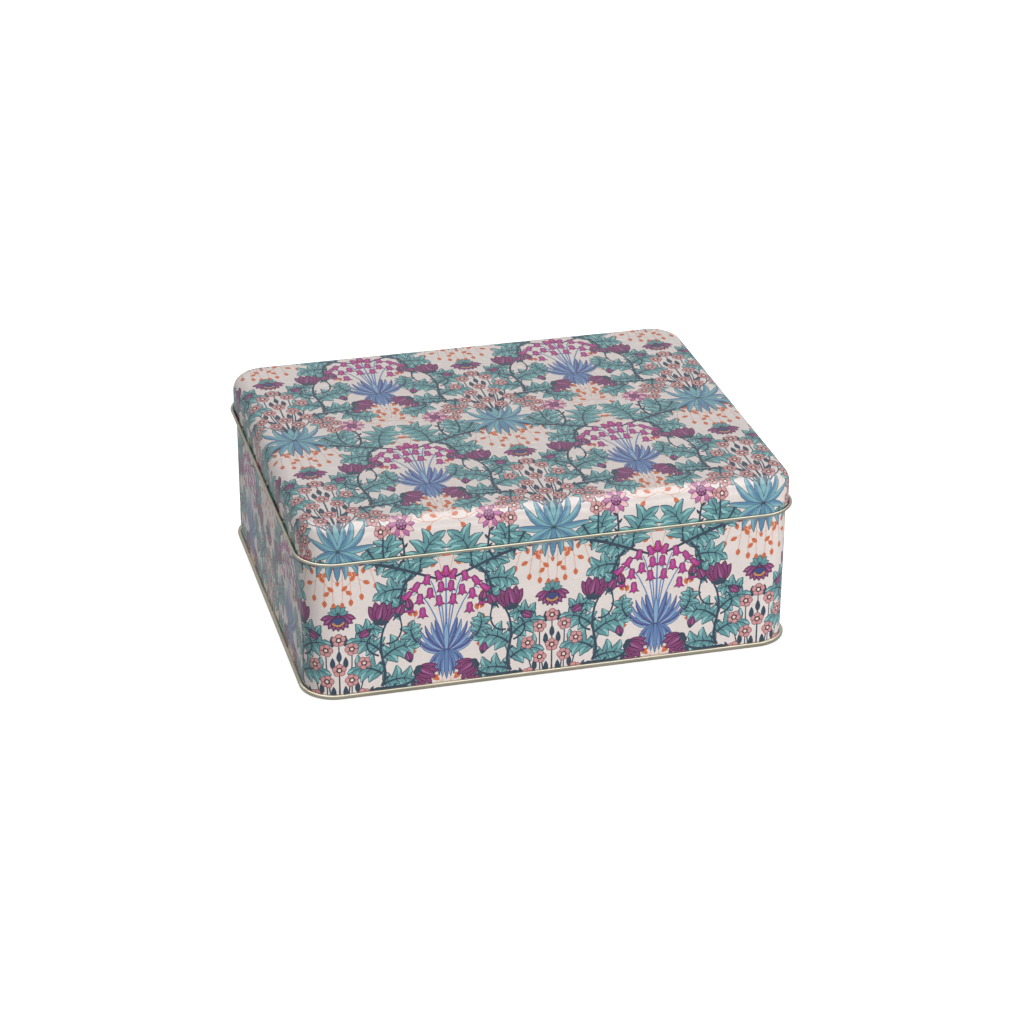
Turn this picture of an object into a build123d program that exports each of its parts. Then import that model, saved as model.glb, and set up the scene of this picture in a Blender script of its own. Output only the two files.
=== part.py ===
from build123d import *
import os
from math import acos, cos, degrees, radians, sin, sqrt

# Rectangular tinplate tin with a slip-on lid, in millimetres. The tin stands on z = 0, centred on the
# Z axis, with its long side along X and its side seam at the back (+Y).

# Overall sizes, measured over the plain body wall; the height is to the top of the closed lid.
length = 200.0
depth = 164.0
height = 75.3
corner_radius = 13.1      # body wall's outer corners, in plan

sheet = 0.25              # tinplate thickness everywhere

# Lid
lid_clearance = 0.7       # between the body wall and the lid's skirt
lid_edge_radius = 6.0     # outside radius between the lid's top and its skirt
lid_depth = 15.6          # from the lid's top down to the underside of its curl
lid_flare_radius = 0.45   # bend between the skirt and the foot of the curl, at mid-sheet
curl_diameter = 1.27
curl_stand_off = 0.32     # between the skirt and the curl beside it
curl_turn = 280.0         # degrees that the curl is rolled through

# Body wall
mouth_clearance = 0.5     # between the wall's top and the inside of the lid's rounded edge
hem_depth = 3.5           # inward fold at the mouth
hem_gap = 0.1             # between the two layers of the fold
bead_radius = 0.9         # outside radius of the stop bead's crest
bead_reach = 1.1          # how far the stop bead stands out from the wall
bead_root_radius = 0.5    # hollow bends above and below the bead, at mid-sheet
rest_gap = 0.05           # between the stop bead and the closed lid that it carries
flange_bend = 0.4         # bend between the wall and its flange, at mid-sheet
flange_width = 1.0        # how far the flange stands out from the wall

# Base and foot seam
panel_rise = 3.2          # underside of the base panel above the table
panel_bend = 0.6          # bend between the base panel and its upright, at mid-sheet
seam_height = 2.0
seam_reach = 1.5          # how far the rolled foot seam stands out from the wall
seam_corner = 0.7         # bends of the roll, at mid-sheet
seam_tuck = 25.0          # degrees that the roll's edge turns down behind the seam
seam_tip_gap = 0.08       # between the roll's edge and the wall

# Lock seam up the back of the wall
lock_width = 5.0
lock_layers = 3           # layers folded behind the outer one
lock_end_gap = 1.5        # the layers are trimmed this far short of the base and of the bead
groove_width = 0.3        # where the outer layer ends
groove_depth = 0.08

half = sheet / 2


def sheet_section(start, heading, moves):
    """Section of a folded sheet, from the lines and bends of its mid-line.

    A move is a length, or a mid-line radius and a turn in degrees. Left turns are positive.
    """
    x, z = start
    left = []
    right = []
    for move in moves:
        along = Vector(cos(radians(heading)), sin(radians(heading)))
        normal = Vector(-along.Y, along.X)
        if isinstance(move, tuple):
            radius, turn = move
            side = 1 if turn > 0 else -1
            centre = Vector(x, z) + normal * radius * side
            first = heading - 90 * side
            for offset, edges in ((half, left), (-half, right)):
                reach = radius - offset * side
                angles = [radians(first + turn * share) for share in (0, 0.5, 1)]
                edges.append(ThreePointArc(*(centre + Vector(cos(a), sin(a)) * reach for a in angles)))
            last = radians(first + turn)
            x, z = centre.X + radius * cos(last), centre.Y + radius * sin(last)
            heading += turn
        else:
            for offset, edges in ((half, left), (-half, right)):
                edge_start = Vector(x, z) + normal * offset
                edges.append(Line(edge_start, edge_start + along * move))
            x, z = x + along.X * move, z + along.Y * move
    caps = [Line(left[0] @ 0, right[0] @ 0), Line(left[-1] @ 1, right[-1] @ 1)]
    return make_face([*left, *right, *caps])


def around(section):
    """Run a section round the tin. Its x is the distance out from the body wall."""
    straight_x = length / 2 - corner_radius
    straight_y = depth / 2 - corner_radius
    ring = Part()
    for turn, reach, run in ((0, straight_x, straight_y), (90, straight_y, straight_x),
                             (180, straight_x, straight_y), (270, straight_y, straight_x)):
        out = Vector(cos(radians(turn)), sin(radians(turn)), 0)
        across = Vector(-out.Y, out.X, 0)
        start = out * (reach + corner_radius) - across * run
        plane = Plane(origin=start, x_dir=out, z_dir=-across)
        side = extrude(plane * section, amount=2 * run, dir=across)
        corner = revolve(plane.offset(-2 * run) * section,
                         axis=Axis(out * reach + across * run, (0, 0, 1)), revolution_arc=90)
        ring += [side, corner]
    return ring


def panel(offset, bottom):
    """Flat sheet with the tin's outline, moved out from the body wall by the offset."""
    outline = RectangleRounded(length + 2 * offset, depth + 2 * offset, corner_radius + offset)
    return extrude(Pos(0, 0, bottom) * outline, amount=sheet)


# Lid: flat top, rounded edge and skirt, then a small flare with the curl rolled outwards from it.
skirt_line = lid_clearance + half
lid_bend = lid_edge_radius - half
lid_bottom = height - lid_depth
curl_radius = curl_diameter / 2 - half
curl_line = lid_clearance + sheet + curl_stand_off + curl_diameter / 2
flare_centre = Vector(skirt_line + lid_flare_radius, lid_bottom + half + lid_flare_radius)
lid_section = sheet_section((skirt_line - lid_bend, height - half), 0, [
    (lid_bend, -90),
    height - lid_edge_radius - flare_centre.Y,
    (lid_flare_radius, 90),
    curl_line - flare_centre.X,
    (curl_radius, curl_turn),
])
lid_shell = around(lid_section) + panel(skirt_line - lid_bend, height - sheet)

# Stop bead: its crest meets the outside of the lid's flare, so the closed lid rests on it.
bead_line = bead_reach - bead_radius
rest_distance = bead_radius + rest_gap + lid_flare_radius + half
bead_height = flare_centre.Y - sqrt(rest_distance ** 2 - (flare_centre.X - bead_line) ** 2)
bead_bends = bead_root_radius + bead_radius - half
bead_slope = degrees(acos(1 - bead_reach / bead_bends))
bead_half = bead_bends * sin(radians(bead_slope))

# The wall ends where the lid's rounded edge comes within the mouth clearance of it.
lid_edge_line = lid_clearance + sheet - lid_edge_radius
mouth_radius = lid_edge_radius - sheet - min(mouth_clearance, lid_clearance)
wall_top = height - lid_edge_radius + sqrt(mouth_radius ** 2 - lid_edge_line ** 2)
hem_bend = (sheet + hem_gap) / 2

# Body wall: flange inside the foot seam, plain wall, stop bead, neck and inward hem.
flange_line = seam_height / 2
wall_section = sheet_section((flange_width, flange_line), 180, [
    flange_width + half - flange_bend,
    (flange_bend, -90),
    bead_height - bead_half - flange_line - flange_bend,
    (bead_root_radius, -bead_slope),
    (bead_radius - half, 2 * bead_slope),
    (bead_root_radius, -bead_slope),
    wall_top - hem_bend - half - bead_height - bead_half,
    (hem_bend, 180),
    hem_depth - hem_bend - half,
])
body_wall = around(wall_section)

# Lock seam: folded layers behind the wall, and a fine groove outside where the outer layer ends.
lock_bottom = panel_rise + sheet + lock_end_gap
lock_top = bead_height - bead_half - lock_end_gap
lock_run = lock_top - lock_bottom
from_outside = (Align.CENTER, Align.MAX, Align.MIN)
lock = Box(lock_width, (1 + lock_layers) * sheet, lock_run, align=from_outside)
groove = Box(groove_width, groove_depth, lock_run, align=from_outside)
body_wall += Pos(0, depth / 2, lock_bottom) * lock
body_wall -= Pos(lock_width / 2, depth / 2, lock_bottom) * groove

# Base: panel set up inside the wall, an upright against the wall, and the roll round the flange.
upright_line = -sheet - half
roll_line = seam_reach - half - seam_corner
roll_tip = (seam_corner + half) * sin(radians(seam_tuck)) + seam_tip_gap
base_section = sheet_section((upright_line - panel_bend, panel_rise + half), 0, [
    (panel_bend, -90),
    panel_rise - panel_bend - seam_corner,
    (seam_corner, 90),
    roll_line - upright_line - seam_corner,
    (seam_corner, 90),
    seam_height - sheet - 2 * seam_corner,
    (seam_corner, 90),
    roll_line - roll_tip,
    (seam_corner, seam_tuck),
])
base_panel = around(base_section) + panel(upright_line - panel_bend, panel_rise)

os.makedirs("parts", exist_ok=True)
for name, solid in (("lid_shell", lid_shell), ("body_wall", body_wall), ("base_panel", base_panel)):
    export_step(solid, f"parts/{name}.step")
    print(name, round(solid.volume, 1), "mm3")
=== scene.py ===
import bpy
import bmesh
from math import atan2, cos, degrees, hypot, pi, radians, sin
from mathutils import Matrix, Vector
from mathutils.geometry import delaunay_2d_cdt


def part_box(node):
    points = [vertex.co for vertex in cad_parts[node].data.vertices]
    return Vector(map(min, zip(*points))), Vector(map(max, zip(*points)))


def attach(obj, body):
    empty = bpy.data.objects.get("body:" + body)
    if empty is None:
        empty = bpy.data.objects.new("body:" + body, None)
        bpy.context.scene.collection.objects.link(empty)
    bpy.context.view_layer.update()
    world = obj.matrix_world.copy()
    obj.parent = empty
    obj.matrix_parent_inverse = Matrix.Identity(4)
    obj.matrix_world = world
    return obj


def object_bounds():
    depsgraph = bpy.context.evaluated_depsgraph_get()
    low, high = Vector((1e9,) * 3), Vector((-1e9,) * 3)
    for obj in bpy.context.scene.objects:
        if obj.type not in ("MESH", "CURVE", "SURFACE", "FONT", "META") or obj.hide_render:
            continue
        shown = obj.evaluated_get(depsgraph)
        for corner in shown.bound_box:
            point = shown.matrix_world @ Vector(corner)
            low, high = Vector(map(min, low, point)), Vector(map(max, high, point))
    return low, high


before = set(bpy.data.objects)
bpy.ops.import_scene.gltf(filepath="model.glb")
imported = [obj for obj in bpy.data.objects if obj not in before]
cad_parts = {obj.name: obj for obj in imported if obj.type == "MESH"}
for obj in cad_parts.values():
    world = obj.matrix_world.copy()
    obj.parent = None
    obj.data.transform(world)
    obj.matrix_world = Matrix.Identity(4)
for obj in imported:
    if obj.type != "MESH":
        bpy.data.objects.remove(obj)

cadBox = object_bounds()
mm = 0.001
print("frame loaded")


class Wire:
    # one output socket, with sums and products that add Math nodes
    def __init__(self, graph, socket):
        self.graph = graph
        self.socket = socket

    def math(self, operation, other):
        return self.graph.add("ShaderNodeMath", {"operation": operation}, {0: self, 1: other})

    def __add__(self, other):
        return self.math("ADD", other)

    def __radd__(self, other):
        return self.math("ADD", other)

    def __mul__(self, other):
        return self.math("MULTIPLY", other)

    def __rmul__(self, other):
        return self.math("MULTIPLY", other)


class Graph:
    # the nodes of a material or of a world
    def __init__(self, owner):
        self.owner = owner
        owner.use_nodes = True
        self.tree = owner.node_tree
        self.tree.nodes.clear()

    def add(self, kind, settings=None, inputs=None, output=0):
        node = self.tree.nodes.new(kind)
        for name, value in (settings or {}).items():
            if name == "stops":
                ramp = node.color_ramp
                while len(ramp.elements) < len(value):
                    ramp.elements.new(1)
                for element, (place, colour) in zip(ramp.elements, value):
                    element.position = place
                    element.color = colour
            elif name == "interpolation":
                node.color_ramp.interpolation = value
            else:
                setattr(node, name, value)
        for name, value in (inputs or {}).items():
            if isinstance(value, Wire):
                self.tree.links.new(value.socket, node.inputs[name])
            else:
                node.inputs[name].default_value = value
        return Wire(self, node.outputs[output]) if node.outputs else node

    def place(self, stretch):
        coords = self.add("ShaderNodeTexCoord", output="Object")
        return self.add("ShaderNodeVectorMath", {"operation": "MULTIPLY"}, {0: coords, 1: stretch})

    def noise(self, scale, detail=2.0, stretch=(1, 1, 1)):
        sockets = {"Vector": self.place(stretch), "Scale": scale, "Detail": detail}
        return self.add("ShaderNodeTexNoise", {}, sockets)

    def mix(self, blend, share, first, second):
        return self.add("ShaderNodeMix", {"data_type": "RGBA", "blend_type": blend},
                        {0: share, 6: first, 7: second}, output=2)

    def range(self, value, low, high, newLow, newHigh):
        return self.add("ShaderNodeMapRange", {}, {0: value, 1: low, 2: high, 3: newLow, 4: newHigh})

    def spread(self, noise, newLow, newHigh):
        # the part of a noise that most of the surface has, stretched over a range
        return self.range(noise, 0.3, 0.7, newLow, newHigh)

    def grey(self, value):
        return self.add("ShaderNodeCombineColor", {}, {0: value, 1: value, 2: value})

    def surface(self, sockets, clearBack=False):
        shader = self.add("ShaderNodeBsdfPrincipled", {}, sockets)
        if clearBack:
            back = self.add("ShaderNodeNewGeometry", output="Backfacing")
            clear = self.add("ShaderNodeBsdfTransparent")
            shader = self.add("ShaderNodeMixShader", {}, {0: back, 1: shader, 2: clear})
        self.add("ShaderNodeOutputMaterial", {}, {"Surface": shader})
        return self.owner


def linear(red, green, blue):
    # screen bytes to a linear colour
    parts = [c / 255 for c in (red, green, blue)]
    return tuple(c / 12.92 if c <= 0.04045 else ((c + 0.055) / 1.055) ** 2.4 for c in parts) + (1.0,)


# the inks of the printed sheet, as screen colours
inkColours = {
    "ground": (226, 216, 212),
    "slate": (50, 68, 86),
    "teal": (96, 150, 154),
    "tealLight": (140, 192, 192),
    "star": (92, 136, 166),
    "starLight": (122, 172, 182),
    "blue": (98, 130, 176),
    "blueLight": (134, 168, 200),
    "navy": (58, 72, 120),
    "violet": (86, 84, 142),
    "plum": (130, 62, 112),
    "plumLight": (172, 96, 152),
    "plumDark": (62, 22, 52),
    "magenta": (182, 58, 142),
    "rose": (206, 148, 148),
    "roseDark": (118, 66, 78),
    "roseLight": (228, 180, 188),
    "cream": (232, 216, 200),
    "mauve": (182, 100, 156),
    "orange": (208, 112, 72),
    "orangeDark": (168, 78, 46),
    "amber": (206, 140, 74),
    "amberLine": (214, 154, 126),
}
inkNumber = {name: i for i, name in enumerate(inkColours)}

# half of the mirrored repeat, in millimetres
repeat = {
    "width": 43.4,
    "height": 87.0,
    "straightRun": 12.0,  # runs that bend less than these degrees are made straight
    "touching": 1e-4,
    "stitch": 2e-3,
}

# A motif is a list of inks and outlines in the order they are painted, round its own origin and mostly
# pointing along x. Its sizes are in millimetres, and the other numbers in its function are shares of them.


def bend(points, steps):
    # one smooth curve drawn by any number of handles
    path = []
    for i in range(steps + 1):
        row = list(points)
        while len(row) > 1:
            row = [tuple(p + (q - p) * i / steps for p, q in zip(a, b)) for a, b in zip(row, row[1:])]
        path.append(row[0])
    return path


def along(path, share):
    # the point at a share of the path, and its heading in degrees
    steps = len(path) - 1
    i = min(int(share * steps), steps - 1)
    (x, y), (nextX, nextY) = path[i], path[i + 1]
    rest = share * steps - i
    return (x + (nextX - x) * rest, y + (nextY - y) * rest), degrees(atan2(nextY - y, nextX - x))


def ribbon(path, halfWidth, left=1.0, right=1.0):
    # closed outline along a path, halfWidth(share) to each side
    edges = [[], []]
    last = len(path) - 1
    for i, (x, y) in enumerate(path):
        before, after = path[max(i - 1, 0)], path[min(i + 1, last)]
        run = hypot(after[0] - before[0], after[1] - before[1]) or 1
        across = ((before[1] - after[1]) / run, (after[0] - before[0]) / run)
        for edge, side in zip(edges, (left, -right)):
            out = halfWidth(i / last) * side
            edge.append((x + across[0] * out, y + across[1] * out))
    return edges[0] + edges[1][::-1]


def disc(radius, at=(0, 0), sides=8, squash=1.0):
    # round spot with a few sides
    turns = [2 * pi * i / sides for i in range(sides)]
    return [(at[0] + radius * cos(turn), at[1] + radius * squash * sin(turn)) for turn in turns]


def drop(length, width, widest=0.5, steps=4):
    # pointed leaf or petal along x, widest at a share of its length
    def half(share):
        u = share / widest / 2 if share < widest else 0.5 + (share - widest) / (1 - widest) / 2
        return width / 2 * sin(pi * u) ** 0.8
    return ribbon([(length * i / (2 * steps), 0) for i in range(2 * steps + 1)], half)


def grown(outline, by):
    # the outline moved outwards, with its sharp tips kept short
    rest = outline[1:] + outline[:1]
    side = by if sum(a[0] * b[1] - b[0] * a[1] for a, b in zip(outline, rest)) > 0 else -by
    moved = []
    for i, (x, y) in enumerate(outline):
        outX = outY = 0
        for (startX, startY), (endX, endY) in ((outline[i - 1], (x, y)), ((x, y), rest[i])):
            run = hypot(endX - startX, endY - startY) or 1
            outX += (endY - startY) / run
            outY -= (endX - startX) / run
        size = hypot(outX, outY) or 1
        reach = min(2 / max(size, 0.3), 2.2) / size * side
        moved.append((x + outX * reach, y + outY * reach))
    return moved


def outlined(outline, edge, ink, rim):
    # an inked outline over a wider one in the rim's ink
    return [(rim, grown(outline, edge)), (ink, outline)]


def turned(shapes, at, angle=0.0):
    # shapes turned in degrees and moved to a place
    c, s = cos(radians(angle)), sin(radians(angle))
    return [(ink, [(at[0] + x * c - y * s, at[1] + x * s + y * c) for x, y in outline])
            for ink, outline in shapes]


def stroke(points, ink, start, end, steps=7):
    # curved line that narrows from one half width to another
    return [(ink, ribbon(bend(points, steps), lambda share: start + (end - start) * share))]


def blade(length, width, sag, inks, rim):
    # long pointed leaf in two tones either side of its rib
    path = bend([(0, 0), (length * 0.6, -sag * 0.25), (length, sag)], 5)

    def half(share):
        return width / 2 * sin(pi * min(0.12 + 0.88 * share, 1)) ** 0.75
    tones = [(inks[0], ribbon(path, half, 1, 0)), (inks[1], ribbon(path, half, 0, 1))]
    return [(rim, grown(ribbon(path, half), 0.22))] + tones


def scrollLeaf(length, width, curl, pairs=4):
    # cut leaf: hooked lobes in pairs along a curved rib, outlined, each with a light stroke and a vein
    spine = bend([(0, 0), (length * 0.35, -curl * 0.2), (length * 0.8, curl * 0.2), (length * 0.86, curl)], 8)
    lobes = []
    for k in range(pairs):
        at, heading = along(spine, 0.1 + 0.72 * k / pairs)
        swell = sin(pi * (0.3 + 0.5 * k / pairs)) ** 0.8
        for side in (1, -1):
            angle = heading + side * (62 - 30 * k / pairs)
            lobes.append((at, angle, width * 0.62 * swell, length / pairs * 0.78, -side))
    at, heading = along(spine, 0.78)
    lobes.append((at, heading, length * 0.3, length / pairs * 0.7, 0))
    rims, bodies, lights, veins = [], [], [], []
    for at, angle, reach, thick, hook in lobes:
        def lobeHalf(t):
            return thick / 2 * (0.6 + 0.4 * sin(pi * min(t * 1.35, 1))) * (1 - t ** 5) + 0.12
        path = bend([(0, 0), (reach * 0.62, 0), (reach, hook * reach * -0.42)], 3)
        near = 1.6 if hook > 0 else -0.1
        body = ribbon(path, lobeHalf)
        light = ribbon(path[1:], lambda t: thick * 0.22 * sin(pi * (0.15 + 0.75 * t)), near, 1.5 - near)
        rims += turned([("slate", grown(body, 0.36))], at, angle)
        bodies += turned([("teal", body)], at, angle)
        lights += turned([("tealLight", light)], at, angle)
        veins += turned([("slate", ribbon(path[:3], lambda t: 0.2 * (1 - t) + 0.05))], at, angle)
    middle = ribbon(spine, lambda t: width * 0.15 * sin(pi * (0.12 + 0.8 * t)) + 0.1)
    rib = ribbon(spine, lambda t: 0.42 * (1 - t) + 0.1)
    return rims + outlined(middle, 0.3, "teal", "slate") + bodies + lights + veins + [("slate", rib)]


def rosette(radius, turn):
    # five round petals, each with a vein
    outline = []
    for i in range(20):
        angle = 2 * pi * i / 20
        reach = radius * (0.8 + 0.2 * abs(cos(2.5 * angle)))
        outline.append((reach * cos(angle), reach * sin(angle)))
    shapes = outlined(outline, 0.26, "rose", "roseDark")
    for k in range(5):
        vein = ribbon([(radius * 0.3, 0), (radius * 0.85, 0)], lambda t: 0.16)
        shapes += turned([("roseDark", vein)], (0, 0), 36 + 72 * k)
    middle = [("plumDark", disc(radius * 0.46)), ("cream", disc(radius * 0.26, sides=6))]
    return turned(shapes + middle, (0, 0), turn)


def bell(length):
    # flared cup along x, drawn from one side's outline
    side = [(0, 0.16), (0.3, 0.26), (0.7, 0.24), (1, 0.46), (0.94, 0.15)]
    cup = side + [(1.12, 0)] + [(x, -y) for x, y in reversed(side)]
    cup = [(x * length, y * length) for x, y in cup]
    light = ("plumLight", drop(length * 0.8, length * 0.16, 0.5, 1))
    return outlined(cup, 0.3, "magenta", "plumDark") + [light]


def tulip(size):
    # each petal as angle, length and width
    shapes = []
    petals = ((38, 0.96, 0.4), (-38, 0.96, 0.4), (20, 1.04, 0.42), (-20, 1.04, 0.42), (0, 1, 0.5))
    for angle, length, width in petals:
        petal = outlined(drop(size * length, size * width, 0.45), 0.3, "plum", "plumDark")
        for ink, offset, wide in (("plumLight", 0.06, 0.4), ("plumDark", -0.07, 0.22)):
            line = [(size * 0.2, size * offset), (size * length * 0.82, size * offset * 0.3)]
            petal.append((ink, ribbon(line, lambda t: wide * (1 - t) + 0.07)))
        shapes += turned(petal, (0, 0), angle)
    for angle in (52, -52, 0):
        shapes += turned([("slate", drop(size * 0.4, size * 0.24, 0.4, 2))], (-size * 0.1, 0), angle)
    return shapes


def bud(size):
    # closed flower with two small sepals
    shapes = outlined(drop(size, size * 0.62, 0.45), 0.28, "plum", "plumDark")
    light = ribbon([(size * 0.25, size * 0.1), (size * 0.8, size * 0.05)], lambda t: 0.24)
    shapes.append(("plumLight", light))
    shapes.append(("plumDark", ribbon([(size * 0.2, -0.1), (size * 0.85, 0)], lambda t: 0.16)))
    for angle in (28, -28):
        shapes += turned([("slate", drop(size * 0.4, size * 0.24, 0.4, 2))], (-0.3, 0), angle)
    return shapes


def daisy(radius):
    # open flower in two tones, with a ring of dots in its middle
    shapes = []
    for k in range(12):
        petal = outlined(drop(radius, radius * 0.36, 0.6, 3), 0.2, ("mauve", "roseLight")[k % 2], "plumDark")
        shapes += turned(petal, (0, 0), 30 * k)
    shapes.append(("plumDark", disc(radius * 0.42, sides=12)))
    for k in range(7):
        shapes += turned([("plumLight", disc(radius * 0.1, (radius * 0.25, 0), 5))], (0, 0), 360 * k / 7)
    return shapes + [("plumLight", disc(radius * 0.12, sides=5))]


def bloom(radius):
    # round bloom seen from the side, hanging open, with a crown of small leaves
    shapes = []
    for angle in (-160, -20, -142, -38, -122, -58, -106, -74, -90):
        petal = outlined(drop(radius * 1.25, radius * 0.42, 0.6, 3), 0.26, "plum", "plumDark")
        petal.append(("plumLight", ribbon([(radius * 0.5, 0.1), (radius * 1.05, 0.1)], lambda t: 0.24)))
        shapes += turned(petal, (0, radius * 0.25), angle)
    shapes += outlined(disc(radius * 0.5, (0, -radius * 0.35), 12, 0.7), 0.26, "navy", "plumDark")
    for k in range(6):
        turn = radians(200 + 28 * k)
        spot = (radius * 0.36 * cos(turn), radius * (0.26 * sin(turn) - 0.35))
        shapes.append(("amber", disc(radius * 0.1, spot, 5)))
    for angle in (10, 45, 90, 135, 170):
        leaf = outlined(drop(radius * 0.7, radius * 0.32, 0.5, 2), 0.24, "teal", "slate")
        shapes += turned(leaf, (0, radius * 0.28), angle)
    return shapes


def seedLeaf(length):
    vein = ribbon([(0.2, 0), (length * 0.75, 0)], lambda t: 0.09)
    return [("orange", drop(length, length * 0.62, 0.5, 2)), ("orangeDark", vein)]


def drawRepeat():
    # axis A is the left edge, axis B the right edge; what leaves the bottom comes in at the top
    shapes = []
    b, top = repeat["width"], repeat["height"]

    def put(motif, x, y, angle=0):
        shapes.extend(turned(motif, (x, y), angle))

    def lifted(points, lift):
        return [(x, y + lift) for x, y in points]

    def sprig(points, leaves):
        # thin orange twig with leaves on both sides and one at its end
        path = bend(points, 5)
        shapes.append(("amberLine", ribbon(path, lambda t: 0.13)))
        for k in range(leaves):
            (x, y), heading = along(path, 0.12 + 0.86 * k / (leaves - 1))
            angle = heading + (0 if k == leaves - 1 else 50 if k % 2 else -50)
            foot = (x + 1.6 * cos(radians(angle)), y + 1.6 * sin(radians(angle)))
            shapes.append(("amberLine", ribbon([(x, y), foot], lambda t: 0.12)))
            put(seedLeaf(3.3), *foot, angle)

    def branch(points, start, end, thorns, steps=8):
        # woody stem with short thorn leaves
        path = bend(points, 10)
        for k in range(thorns):
            (x, y), heading = along(path, 0.12 + 0.8 * k / thorns)
            put([("slate", drop(2.8, 1.15, 0.4, 2))], x, y, heading + (42 if k % 2 else -42))
        shapes.extend(stroke(points, "slate", start, end, steps))

    # orange sprigs lie behind everything; each as handles and how many leaves
    sprigs = [
        ([(b, 42), (b - 2.2, 50), (b - 1.6, 59)], 6), ([(b - 1, 42), (b - 7, 46), (b - 7, 57)], 6),
        ([(b - 1.5, 41), (b - 10, 42), (b - 13.5, 51)], 5), ([(b, 40), (b - 6, 36.5), (b - 12, 40)], 4),
        ([(1.6, 27), (2.4, 18), (1.8, 8)], 5), ([(2.2, 27), (5.6, 19), (5.2, 9)], 4),
        ([(2.6, 27), (8.6, 22), (9.2, 11)], 5), ([(3.2, 28), (12, 26), (14.5, 15)], 5),
        ([(b - 18, 12), (b - 19, 6), (b - 16, 1)], 3),
        ([(b - 18, top + 12), (b - 19, top + 6), (b - 16, top + 1)], 3),
        ([(b - 3, 30), (b - 4, 24), (b - 2, 17)], 4), ([(26, 66), (29, 71), (28.5, 77)], 3),
        ([(b - 12, 70), (b - 15, 74), (b - 13, 82)], 3),
    ]
    for points, leaves in sprigs:
        sprig(points, leaves)

    # rosette spray over the star plant
    spray = ((0, 77), (5.2, 72.5), (10.0, 65.6), (0, 63.5), (5.0, 58.5), (9.6, 51.5), (0, 50.0), (4.6, 45))
    for x, y in spray:
        stalk = [(0.4, 36), (x * 0.5, 44), (x * 1.1, y - 9), (x, y - 1)]
        shapes.extend(stroke(stalk, "slate", 0.34, 0.24, 5))
    for x, y in ((0, 70), (2.6, 67), (7.4, 62), (2.4, 54), (7.2, 55.5), (2.6, 76.8), (7.4, 77)):
        put([("slate", drop(5.4, 2.2, 0.4, 3))], x, y - 3, 90)

    # leaves, each as place, angle, length, width, curl and pairs of lobes
    leaves = [
        (b - 10.5, 17, 82, 19, 12, -6, 4), (b - 12, 15, 150, 13, 9, 5, 3),
        (b - 22, 21, 108, 14, 10, -5, 3), (12, 30, -58, 14, 10, 4, 3), (18, 55, 18, 13, 9, -4, 3),
        (17, 60, 148, 13, 10, 5, 3), (18, 67, 36, 14.5, 10, -5, 3), (16, 71, 140, 13, 9, 4, 3),
        (26, 51, -42, 13, 9, 4, 3), (13, 53, -72, 13, 9, -4, 3), (7.5, 79, 20, 10, 7, -3, 3),
        (b - 12, 72, 120, 9.5, 7, -3, 3),
    ]
    for lift in (0, top):
        leaves += [(b - 16, 9 + lift, 172, 13, 9, 4, 3), (b - 17, 4 + lift, -140, 11, 8, -4, 3)]
    for x, y, angle, length, width, curl, pairs in leaves:
        put(scrollLeaf(length, width, curl, pairs), x, y, angle)

    # stems, drawn over the feet of the leaves
    branch([(0.6, 33), (0.5, 50), (9, 57), (18, 53), (26, 50), (32, 57)], 0.95, 0.5, 7, 12)
    branch([(1.5, 28), (8, 22), (20, 22), (30, 16), (b - 3, 12)], 0.9, 0.5, 6, 9)
    branch([(17, 54), (22, 62), (12, 70), (20, 84)], 0.7, 0.4, 3)
    branch([(24, 18.5), (29, 26), (25, 32), (26, 36)], 0.5, 0.35, 4)
    for lift in (0, top):
        branch(lifted([(30, 15), (23, 10), (27, 2), (22, -4)], lift), 0.6, 0.35, 5)
    for points in ([(20, 22), (16, 28), (20, 34), (17, 42)], [(26, 52), (29, 50), (33, 51), (36, 50)],
                   [(19, 73), (25, 72), (27, 80), (24, 85)], [(16, 68), (10, 70), (10, 76), (14, 78)]):
        shapes.extend(stroke(points, "slate", 0.45, 0.3))

    # small flowers
    for x, y in spray:
        put(rosette(2.75, 17 * x + 90), x, y)
    scattered = ((15, 41.5, 0), (20, 43, 30), (17.4, 36.6, 50), (22.2, 37.4, 15), (12.4, 46.2, 40),
                 (17.6, 47.2, 70))
    for x, y, turn in scattered:
        put(rosette(2.5, turn), x, y)

    # bells on thin stalks out of the blue fan; each as angle, distance from axis B and height
    bells = [(-90, 0, 104.4), (-66, 3.8, 102.6), (-104, 7.2, 101.4), (-84, 2.2, 97.6),
             (-122, 11, 98.4), (-92, 6.4, 95.4), (-134, 14.2, 94.6), (-96, 10.4, 93.2),
             (-84, 3, 91.6), (-98, 14.2, 89.8), (-88, 9.6, 87)]
    for lift in (0, -top):
        for reach, tip in ((0, 101), (7, 99), (13.5, 94), (3.6, 96)):
            points = [(b - 0.4, 70), (b - reach * 0.3, 84), (b - reach * 0.8, tip + 4), (b - reach, tip - 1)]
            shapes.extend(stroke(lifted(points, lift), "blue", 0.3, 0.24, 6))
        for angle, reach, y in bells:
            put(bell(4.1), b - reach, y + lift, angle)

    # star plant on axis A; each blade as angle, length and sag
    blades = ((90, 12, 0), (68, 11, 1), (44, 14, 5), (24, 15, 5), (4, 15, 1), (-18, 15, -4),
              (-40, 14, -4), (-64, 13.5, -3), (-90, 14, 0))
    for k, (angle, length, sag) in enumerate(blades):
        inks = ("starLight", "star") if k % 2 else ("star", "starLight")
        put(blade(length, 2.6, sag, inks, "slate"), 0, 30, angle)

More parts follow.
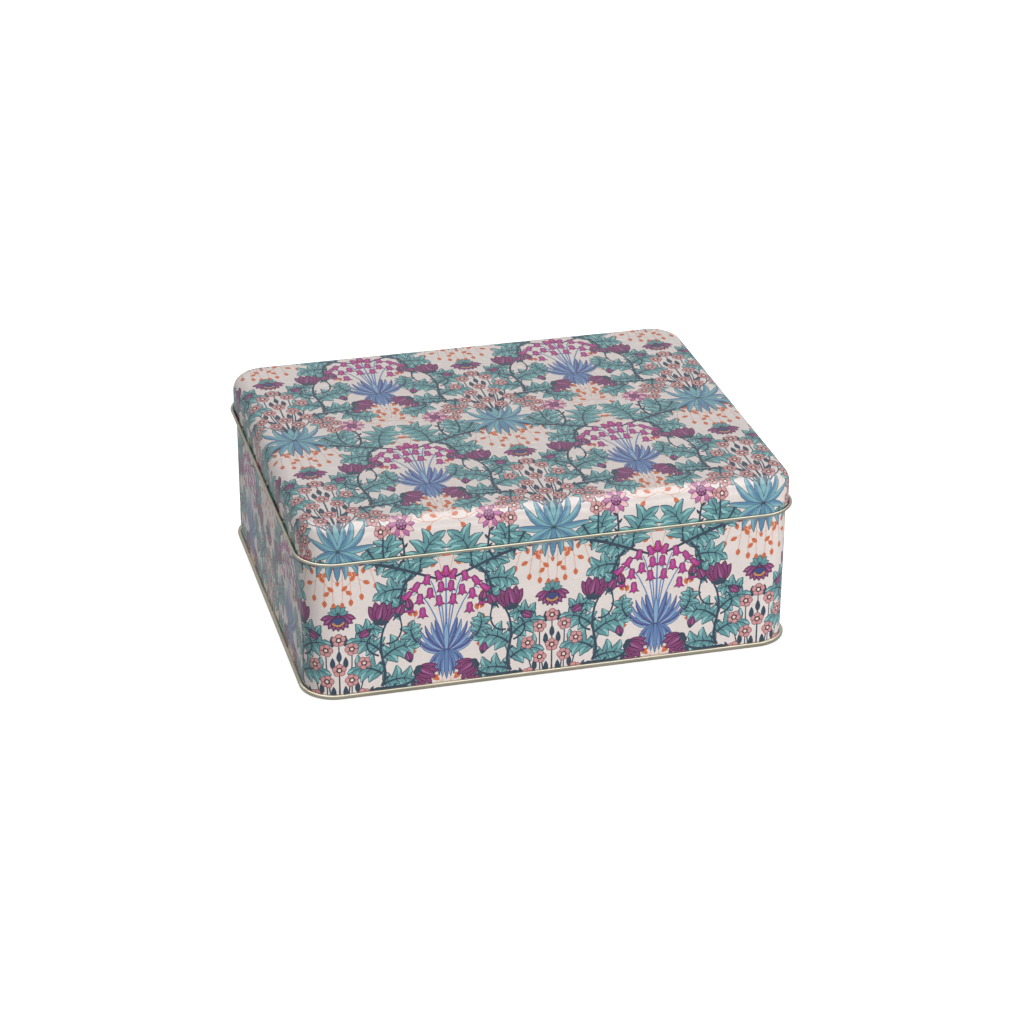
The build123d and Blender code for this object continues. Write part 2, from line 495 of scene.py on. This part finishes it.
    # blue fan on axis B
    blades = ((186, 10, -4), (172, 12.5, -5), (157, 13.5, -5), (142, 14, -4), (127, 14, -3),
              (112, 14.5, -1), (90, 12, 0), (204, 9, 3), (222, 10, 4), (240, 11, 3), (257, 12, 1),
              (270, 13, 0))
    for k, (angle, length, sag) in enumerate(blades):
        inks = ("violet", "blue") if k % 2 else ("blueLight", "blue")
        put(blade(length, 1.7, sag, inks, "navy"), b, 67, angle)

    # large flowers
    for lift in (0, top):
        put(bloom(5.8), 0, lift)
    for lift in (0, -top):
        put(tulip(9.2), 16.5, 82.5 + lift, 80)
        put(bud(5.8), 23.6, 84.5 + lift, 66)
        put(bud(5.2), 12.8, 80 + lift, -150)
        put(bud(4.8), 28.8, 87 + lift, 100)
    put(tulip(8.6), 31.2, 59.5, -28)
    put(bud(4.8), 28.8, 63.6, 104)
    put(bud(4.8), 30, 54.5, -70)
    put(daisy(5.4), 25.8, 38.6)
    return shapes


def flattenRepeat():
    # shapes painted over each other become one layer of cells, each with the ink that lies on top
    wide, high = repeat["width"], repeat["height"]
    points = [Vector(corner) for corner in ((0, 0), (wide, 0), (wide, high), (0, high))]
    loops = [[0, 1, 2, 3]]
    inks = [inkNumber["ground"]]
    for ink, outline in drawRepeat():
        for lift in (-high, 0, high):
            ring = [Vector((x, y + lift)) for x, y in outline]
            if max(p.y for p in ring) < 0 or min(p.y for p in ring) > high:
                continue
            area = sum(a.x * b.y - b.x * a.y for a, b in zip(ring, ring[1:] + ring[:1]))
            if area < 0:
                ring.reverse()
            loops.append(list(range(len(points), len(points) + len(ring))))
            points += ring
            inks.append(inkNumber[ink])
    corners, _, cells, _, _, owners = delaunay_2d_cdt(points, [], loops, 1, repeat["touching"], True)
    flat = bmesh.new()
    made = [flat.verts.new((p.x, p.y, 0)) for p in corners]
    for cell, owner in zip(cells, owners):
        if 0 in owner:
            flat.faces.new([made[i] for i in cell]).material_index = inks[max(owner)]
    # neighbours of one ink join up, and nearly straight runs lose their spare points
    bmesh.ops.dissolve_limit(flat, angle_limit=radians(repeat["straightRun"]), verts=flat.verts,
                             edges=flat.edges, delimit={"MATERIAL"})
    bmesh.ops.triangulate(flat, faces=flat.faces)
    bmesh.ops.delete(flat, geom=[v for v in flat.verts if not v.link_faces], context="VERTS")
    flat.verts.index_update()
    corners = [(v.co.x, v.co.y) for v in flat.verts]
    cells = []
    for face in flat.faces:
        ring = [v.index for v in face.verts]
        xs = [corners[i][0] for i in ring]
        ys = [corners[i][1] for i in ring]
        cells.append((ring, face.material_index, (min(xs), max(xs), min(ys), max(ys))))
    flat.free()
    print("one flat repeat:", len(corners), "points,", len(cells), "cells")
    return corners, cells


def cutSheet(sheet, place, direction, clear=False):
    # scores the sheet along a line, or trims away what lies beyond it
    everything = list(sheet.verts) + list(sheet.edges) + list(sheet.faces)
    bmesh.ops.bisect_plane(sheet, geom=everything, dist=repeat["touching"], plane_co=(*place, 0),
                           plane_no=(*direction, 0), clear_outer=clear)


def printSheet(low, high, origin, rowPitch, columns=(), rows=()):
    # repeats side by side, every other one mirrored, trimmed to a rectangle and scored where it will bend
    corners, cells = flatRepeat
    wide = repeat["width"]
    stretch = rowPitch / repeat["height"]
    sheet = bmesh.new()
    inkLayer = sheet.faces.layers.float.new("ink")
    for column in range(int((low[0] - origin[0]) // wide), int((high[0] - origin[0]) // wide) + 1):
        for row in range(int((low[1] - origin[1]) // rowPitch), int((high[1] - origin[1]) // rowPitch) + 1):
            left, bottom = origin[0] + column * wide, origin[1] + row * rowPitch
            mirrored = column % 2 == 1
            spanX = (low[0] - left, high[0] - left)
            spanY = ((low[1] - bottom) / stretch, (high[1] - bottom) / stretch)
            if mirrored:
                spanX = (wide - spanX[1], wide - spanX[0])
            made = {}
            for cell, ink, (lowX, highX, lowY, highY) in cells:
                if highX < spanX[0] or lowX > spanX[1] or highY < spanY[0] or lowY > spanY[1]:
                    continue
                ring = []
                for i in reversed(cell) if mirrored else cell:
                    if i not in made:
                        x, y = corners[i]
                        x = wide - x if mirrored else x
                        made[i] = sheet.verts.new((left + x, bottom + y * stretch, 0))
                    ring.append(made[i])
                sheet.faces.new(ring)[inkLayer] = ink
    for place, direction in ((low, (-1, 0)), (high, (1, 0)), (low, (0, -1)), (high, (0, 1))):
        cutSheet(sheet, place, direction, True)
    for value in columns:
        cutSheet(sheet, (value, 0), (1, 0))
    for value in rows:
        cutSheet(sheet, (0, value), (0, 1))
    return sheet


def joinSheets(sheets):
    # one sheet out of several, stitched where their cut edges meet
    whole = bmesh.new()
    whole.faces.layers.float.new("ink")
    for sheet in sheets:
        data = bpy.data.meshes.new("sheet")
        sheet.to_mesh(data)
        sheet.free()
        whole.from_mesh(data)
        bpy.data.meshes.remove(data)
    bmesh.ops.remove_doubles(whole, verts=whole.verts, dist=repeat["stitch"])
    bmesh.ops.delete(whole, geom=[v for v in whole.verts if not v.link_faces], context="VERTS")
    return whole


mapMargin = 0.004  # edge left clear round each flat map


def wrapSheet(sheet, name, wrap, low, size, body):
    # bends the flat sheet on to the metal and gives it its smooth normals and its flat map
    share = (1 - 2 * mapMargin) / size
    flat = [(v.co.x, v.co.y) for v in sheet.verts]
    normals = []
    for corner, (x, y) in zip(sheet.verts, flat):
        place, normal = wrap(x, y)
        corner.co = [value * mm for value in place]
        normals.append(normal)
    mapLayer = sheet.loops.layers.uv.new("OFBake")
    sheet.verts.index_update()
    for face in sheet.faces:
        face.smooth = True
        for loop in face.loops:
            x, y = flat[loop.vert.index]
            loop[mapLayer].uv = (mapMargin + share * (x - low[0]), mapMargin + share * (y - low[1]))
    data = bpy.data.meshes.new(name)
    sheet.to_mesh(data)
    sheet.free()
    data.normals_split_custom_set_from_vertices(normals)
    data.materials.append(litho)
    piece = bpy.data.objects.new(name, data)
    bpy.context.scene.collection.objects.link(piece)
    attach(piece, body)
    print(name, len(data.polygons), "cells")


# the lid's print in millimetres: over the flat top, round the edge and down the skirt
lidPrint = {
    "standOff": 0.08,
    "edgeRadius": 6.0,
    "cornerRadius": 14.05,
    "skirtHalf": (100.95, 82.95),
    "lowEdge": 60.2,
    "rowPitch": 90.8,
    "origin": (-87.55, -31.2),
    "edgeSteps": 8,
    "cornerStep": 1.2,
    "cornerCuts": 32,
}
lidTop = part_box("lid_shell")[1].z / mm
lidCentre = [half - lidPrint["cornerRadius"] for half in lidPrint["skirtHalf"]]
flatRadius = lidPrint["cornerRadius"] - lidPrint["edgeRadius"]
edgeLength = lidPrint["edgeRadius"] * pi / 2
lidReach = flatRadius + edgeLength + lidTop - lidPrint["edgeRadius"] - lidPrint["lowEdge"]


def wrapLid(x, y):
    # a point of the flat print, to its place on the lid and its normal
    nearest = [min(max(value, -centre), centre) for value, centre in zip((x, y), lidCentre)]
    beyond = (x - nearest[0], y - nearest[1])
    distance = hypot(*beyond)
    travel = distance - flatRadius
    if travel <= 0:
        return (x, y, lidTop + lidPrint["standOff"]), (0, 0, 1)
    out = (beyond[0] / distance, beyond[1] / distance)
    radius = lidPrint["edgeRadius"] + lidPrint["standOff"]
    angle = min(travel / lidPrint["edgeRadius"], pi / 2)
    reach = flatRadius + radius * sin(angle)
    z = lidTop - lidPrint["edgeRadius"] + radius * cos(angle) - max(travel - edgeLength, 0)
    normal = (out[0] * sin(angle), out[1] * sin(angle), cos(angle))
    return (nearest[0] + out[0] * reach, nearest[1] + out[1] * reach, z), normal


def lidQuarter(name, end, side):
    centreX, centreY = lidCentre
    farX, farY = centreX + lidReach, centreY + lidReach
    edgeSteps, cornerStep, cuts = (lidPrint[key] for key in ("edgeSteps", "cornerStep", "cornerCuts"))
    bends = [flatRadius + edgeLength * i / edgeSteps for i in range(edgeSteps + 1)]
    flatSteps = int(flatRadius / cornerStep)
    skirtSteps = int((lidReach - bends[-1]) / cornerStep)
    grid = [flatRadius * i / flatSteps for i in range(flatSteps)] + bends
    grid += [bends[-1] + (lidReach - bends[-1]) * i / skirtSteps for i in range(1, skirtSteps)]

    def part(xs, ys, columns=(), rows=()):
        lowX, highX = sorted(end * x for x in xs)
        lowY, highY = sorted(side * y for y in ys)
        return printSheet((lowX, lowY), (highX, highY), lidPrint["origin"], lidPrint["rowPitch"],
                          [end * (centreX + column) for column in columns],
                          [side * (centreY + row) for row in rows])

    corner = part((centreX, farX), (centreY, farY), grid, grid)
    for i in range(1, cuts):
        angle = pi / 2 * i / cuts
        direction = (end * cos(angle), side * sin(angle))
        place = (end * centreX + direction[0] * lidReach, side * centreY + direction[1] * lidReach)
        cutSheet(corner, place, direction, True)
    sheets = [part((0, centreX), (0, farY), (), bends), part((centreX, farX), (0, centreY), bends), corner]
    low = (min(end * farX, 0), min(side * farY, 0))
    wrapSheet(joinSheets(sheets), name, wrapLid, low, farX, "lid")


# the wall's print in millimetres: round the four sides, from the foot seam up and over the stop bead
wallPrint = {
    "standOff": 0.08,
    "half": (100.0, 82.0),
    "cornerRadius": 13.1,
    "cornerSteps": 14,
    "rootSteps": 3,
    "crestSteps": 12,
    "lowEdge": 1.97,
    "beadMiddle": 59.19,
    "beadCrest": 0.9,
    "beadRoot": 0.375,
    "beadTurn": 82.1,
    "neck": 0.35,
    "rowPitch": 87.0,
    "origin": (-87.55, -50.8),
    "bareSeam": 1.6,
}
wallCentre = [half - wallPrint["cornerRadius"] for half in wallPrint["half"]]
cornerTurn = wallPrint["cornerRadius"] * pi / 2
beadAngle = radians(wallPrint["beadTurn"])
rootLength = wallPrint["beadRoot"] * beadAngle
crestLength = 2 * wallPrint["beadCrest"] * beadAngle
beadFoot = wallPrint["beadMiddle"] - (wallPrint["beadRoot"] + wallPrint["beadCrest"]) * sin(beadAngle)
beadEnd = beadFoot + 2 * rootLength + crestLength
sideLengths = [2 * wallCentre[0], 2 * wallCentre[1]] * 2
wallRound = sum(sideLengths) + 4 * cornerTurn
frontEnd = wallCentre[0] + cornerTurn / 2
sideEnd = frontEnd + cornerTurn + sideLengths[1]


def wallProfile(up):
    # length up the flat print, to how far out and how high it is, and its tilt
    middle, root, crest = (wallPrint[key] for key in ("beadMiddle", "beadRoot", "beadCrest"))
    standOff = wallPrint["standOff"]
    fromMiddle = up - (beadFoot + beadEnd) / 2
    way = 1 if fromMiddle > 0 else -1
    fromMiddle = abs(fromMiddle)
    footRise = middle - beadFoot
    if fromMiddle < crestLength / 2:
        angle = fromMiddle / crest
        centre = root * (1 - cos(beadAngle)) - crest * cos(beadAngle)
        radius = crest + standOff
        return centre + radius * cos(angle), middle + way * radius * sin(angle), way * angle
    toFoot = crestLength / 2 + rootLength - fromMiddle
    if toFoot > 0:
        angle = toFoot / root
        radius = root - standOff
        rise = footRise - radius * sin(angle)
        return standOff + radius * (1 - cos(angle)), middle + way * rise, way * angle
    return standOff, middle + way * (footRise - toFoot), 0


def wrapWall(around, up):
    # around is measured from the middle of the front, to the right
    out, z, tilt = wallProfile(up)
    travel = (around + wallCentre[0]) % wallRound
    side = 0
    while side < 3 and travel > sideLengths[side] + cornerTurn:
        travel -= sideLengths[side] + cornerTurn
        side += 1
    angle = pi / 2 * (side - 1)
    corners = [(-1, -1), (1, -1), (1, 1), (-1, 1), (-1, -1)]
    centre = corners[side + (travel > sideLengths[side])]
    if travel > sideLengths[side]:
        angle += (travel - sideLengths[side]) / wallPrint["cornerRadius"]
        travel = 0
    reach = wallPrint["cornerRadius"] + out
    facing = (cos(angle), sin(angle))
    place = (centre[0] * wallCentre[0] + facing[0] * reach - facing[1] * travel,
             centre[1] * wallCentre[1] + facing[1] * reach + facing[0] * travel, z)
    return place, (facing[0] * cos(tilt), facing[1] * cos(tilt), sin(tilt))


def wallPanel(name, spans):
    # spans are lengths round the wall, scored at the corners and the bead
    top = beadEnd + wallPrint["neck"]
    rootSteps, crestSteps = wallPrint["rootSteps"], wallPrint["crestSteps"]
    cornerSteps = wallPrint["cornerSteps"]
    rows = [beadFoot + rootLength * i / rootSteps for i in range(rootSteps + 1)]
    rows += [beadEnd - rootLength * i / rootSteps for i in range(rootSteps + 1)]
    rows += [beadFoot + rootLength + crestLength * i / crestSteps for i in range(1, crestSteps)]
    columns = []
    corner = -wallRound - wallCentre[0]
    for side in range(8):
        corner += sideLengths[side % 4]
        columns += [corner + cornerTurn * i / cornerSteps for i in range(cornerSteps + 1)]
        corner += cornerTurn
    parts = []
    for start, end in spans:
        inside = [column for column in columns if start + 0.01 < column < end - 0.01]
        parts.append(printSheet((start, wallPrint["lowEdge"]), (end, top), wallPrint["origin"],
                                wallPrint["rowPitch"], inside, rows))
    low = (spans[0][0], wallPrint["lowEdge"])
    wrapSheet(joinSheets(parts), name, wrapWall, low, spans[-1][1] - low[0], "tin")


# the lithographed finish: inks on a white coat under clear lacquer, with the faint tooth of the rolled sheet
lithoFinish = {
    "toothScale": 900,
    "toothShade": (0.94, 1.03),
    "toothDepth": 0.00004,
    "toothStrength": 0.1,
    "cloudScale": 45,
    "cloudShade": (0.985, 1.01),
    "lacquerScale": 160,
    "roughness": (0.2, 0.27),
    "scuffScale": 700,
    "scuffs": (0.0, 0.12),
    "gloss": 0.9,
}


def makeLitho():
    graph = Graph(bpy.data.materials.new("litho_print"))
    ink = graph.add("ShaderNodeAttribute", {"attribute_name": "ink"}, {}, "Fac")
    stops = [(i / len(inkColours), linear(*colour)) for i, colour in enumerate(inkColours.values())]
    palette = graph.add("ShaderNodeValToRGB", {"interpolation": "CONSTANT", "stops": stops},
                        {"Fac": (ink + 0.5) * (1 / len(inkColours))})
    across = graph.noise(lithoFinish["toothScale"], 1, (1, 0.18, 1))
    down = graph.noise(lithoFinish["toothScale"], 1, (0.18, 1, 0.18))
    tooth = (across + down) * 0.5
    cloud = graph.noise(lithoFinish["cloudScale"], 2)
    shade = graph.spread(tooth, *lithoFinish["toothShade"]) * graph.spread(cloud, *lithoFinish["cloudShade"])
    coloured = graph.mix("MULTIPLY", 1.0, palette, graph.grey(shade))
    lacquer = graph.noise(lithoFinish["lacquerScale"], 3)
    marks = graph.noise(lithoFinish["scuffScale"], 2, (0.3, 1, 1))
    scuffs = graph.range(marks, 0.62, 0.8, *lithoFinish["scuffs"])
    bump = graph.add("ShaderNodeBump", {}, {"Strength": lithoFinish["toothStrength"],
                                            "Distance": lithoFinish["toothDepth"],
                                            "Height": tooth + lacquer * 0.6})
    return graph.surface({
        "Base Color": coloured,
        "Roughness": graph.spread(lacquer, *lithoFinish["roughness"]) + scuffs,
        "Specular IOR Level": lithoFinish["gloss"],
        "Normal": bump,
    })


# bare tinplate under pale gold lacquer: fine rolling lines, a little smoke and small scuffs
tinFinish = {
    "tint": (220, 213, 194),
    "smokeTint": (205, 198, 177),
    "smokeScale": 38,
    "rollScale": 700,
    "rollShade": (0.95, 1.02),
    "lineDepth": 0.00002,
    "lineStrength": 0.06,
    "roughness": (0.26, 0.35),
    "scuffScale": 1300,
    "scuffs": (0.0, 0.1),
}


def makeTinplate(name, rolledAlong):
    graph = Graph(bpy.data.materials.new(name))
    rolled = graph.noise(tinFinish["rollScale"], 3, rolledAlong)
    smoke = graph.range(graph.noise(tinFinish["smokeScale"], 3), 0.35, 0.65, 0.0, 1.0)
    colour = graph.mix("MIX", smoke, linear(*tinFinish["tint"]), linear(*tinFinish["smokeTint"]))
    shade = graph.spread(rolled, *tinFinish["rollShade"])
    scuffs = graph.range(graph.noise(tinFinish["scuffScale"], 2), 0.55, 0.8, *tinFinish["scuffs"])
    bump = graph.add("ShaderNodeBump", {}, {"Strength": tinFinish["lineStrength"],
                                            "Distance": tinFinish["lineDepth"],
                                            "Height": rolled})
    return graph.surface({
        "Base Color": graph.mix("MULTIPLY", 1.0, colour, graph.grey(shade)),
        "Metallic": 1.0,
        "Roughness": graph.spread(rolled, *tinFinish["roughness"]) + scuffs,
        "Normal": bump,
    })


litho = makeLitho()
rolledLengthways, rolledUpright = (0.08, 1, 1), (1, 1, 0.08)
for node, rolledAlong in (("lid_shell", rolledLengthways), ("body_wall", rolledUpright),
                          ("base_panel", rolledLengthways)):
    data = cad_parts[node].data
    data.materials.clear()
    data.materials.append(makeTinplate("tinplate_" + node, rolledAlong))
print("materials made")

flatRepeat = flattenRepeat()
lidQuarter("lid_print_front_left", -1, -1)
lidQuarter("lid_print_front_right", 1, -1)
lidQuarter("lid_print_back_left", -1, 1)
lidQuarter("lid_print_back_right", 1, 1)
wallPanel("wall_print_front", [(-frontEnd, frontEnd)])
wallPanel("wall_print_right", [(frontEnd, sideEnd)])
wallPanel("wall_print_left", [(-sideEnd, -frontEnd)])
# the back has a strip without ink where the side seam is locked
seamStart = (wallRound - wallPrint["bareSeam"]) / 2
wallPanel("wall_print_back", [(sideEnd, seamStart), (wallRound - seamStart, wallRound - sideEnd)])
print("printed sheets wrapped")

# table, lights and camera
view = {
    "place": (-0.28016, -1.05918, 0.57386),
    "target": (-0.009309, 0.0, 0.033549),
    "lens": 101.75,
    "shift": 0.031,
    "clip": (0.01, 50),
}
studio = {
    "paperTone": (250, 250, 250),
    "tableGlow": 0.6,
    "tableGap": 0.0002,
    "wallGlow": 1.0,
    "roomRadius": 9.0,
    "above": 0.48,
    "below": 0.38,
    "horizon": 0.25,
}
lamps = {
    "key": {"place": (0.55, -1.35, 0.42), "target": (0, 0, 0.03), "size": (1.0, 0.7), "power": 15.0,
            "lights": True, "mirrored": False},
    "strip": {"place": (0, 0.5, 0.85), "target": (0, 0, 0.05), "size": (1.5, 0.22), "power": 3.4,
              "lights": True, "mirrored": False},
    "ceiling": {"place": (0.1, 0.1, 0.95), "target": (0.1, 0.1, 0), "size": (1.7, 1.35), "power": 15.0,
                "lights": False, "mirrored": True},
}


def addStage(name, mesh, glow, clearBack=False):
    # white paper that the camera sees but that neither lights nor shades the tin
    data = bpy.data.meshes.new(name)
    mesh.to_mesh(data)
    mesh.free()
    graph = Graph(bpy.data.materials.new(name + "_paper"))
    tone = linear(*studio["paperTone"])
    paper = graph.surface({
        "Base Color": graph.mix("MIX", graph.noise(3, 2), tone, tuple(value * 0.98 for value in tone)),
        "Roughness": 0.9,
        "Specular IOR Level": 0.1,
        "Emission Color": (1, 1, 1, 1),
        "Emission Strength": glow,
    }, clearBack)
    data.materials.append(paper)
    stage = bpy.data.objects.new(name, data)
    stage.visible_diffuse = stage.visible_glossy = stage.visible_shadow = False
    bpy.context.scene.collection.objects.link(stage)
    return stage


def addRoom():
    mesh = bmesh.new()
    bmesh.ops.create_circle(mesh, cap_ends=True, segments=64, radius=studio["roomRadius"])
    # clear from below, so that the tin's underside can be seen
    table = addStage("table", mesh, studio["tableGlow"], True)
    table.location.z = cadBox[0][2] - studio["tableGap"]
    mesh = bmesh.new()
    bmesh.ops.create_uvsphere(mesh, u_segments=64, v_segments=32, radius=studio["roomRadius"])
    addStage("white_walls", mesh, studio["wallGlow"])


def addLamp(name, place, target, size, power, lights, mirrored):
    # a card of light that lights the tin, shows in its gloss, or both
    data = bpy.data.lights.new(name, "AREA")
    data.shape = "RECTANGLE"
    data.size, data.size_y = size
    data.energy = power
    lamp = bpy.data.objects.new(name, data)
    lamp.location = place
    lamp.rotation_euler = (Vector(target) - Vector(place)).to_track_quat("-Z", "Y").to_euler()
    lamp.visible_diffuse, lamp.visible_glossy = lights, mirrored
    bpy.context.scene.collection.objects.link(lamp)


def addCamera():
    data = bpy.data.cameras.new("camera")
    data.lens = view["lens"]
    data.shift_x = view["shift"]
    data.clip_start, data.clip_end = view["clip"]
    camera = bpy.data.objects.new("camera", data)
    camera.location = view["place"]
    heading = Vector(view["target"]) - Vector(view["place"])
    camera.rotation_euler = heading.to_track_quat("-Z", "Y").to_euler()
    bpy.context.scene.collection.objects.link(camera)
    bpy.context.scene.camera = camera


def addSurround():
    # even light from all round, weaker from below the table
    graph = Graph(bpy.data.worlds.new("studio"))
    height = graph.add("ShaderNodeSeparateXYZ", {}, {0: graph.add("ShaderNodeTexCoord")}, "Z")
    level = graph.range(height, -studio["horizon"], studio["horizon"], studio["below"], studio["above"])
    light = graph.add("ShaderNodeBackground", {}, {"Color": (1, 1, 1, 1), "Strength": level})
    graph.add("ShaderNodeOutputWorld", {}, {"Surface": light})
    bpy.context.scene.world = graph.owner


addRoom()
addCamera()
addSurround()
for name, lamp in lamps.items():
    addLamp(name, **lamp)
bpy.context.scene.view_settings.view_transform = "Standard"
print("table, lights and camera placed")
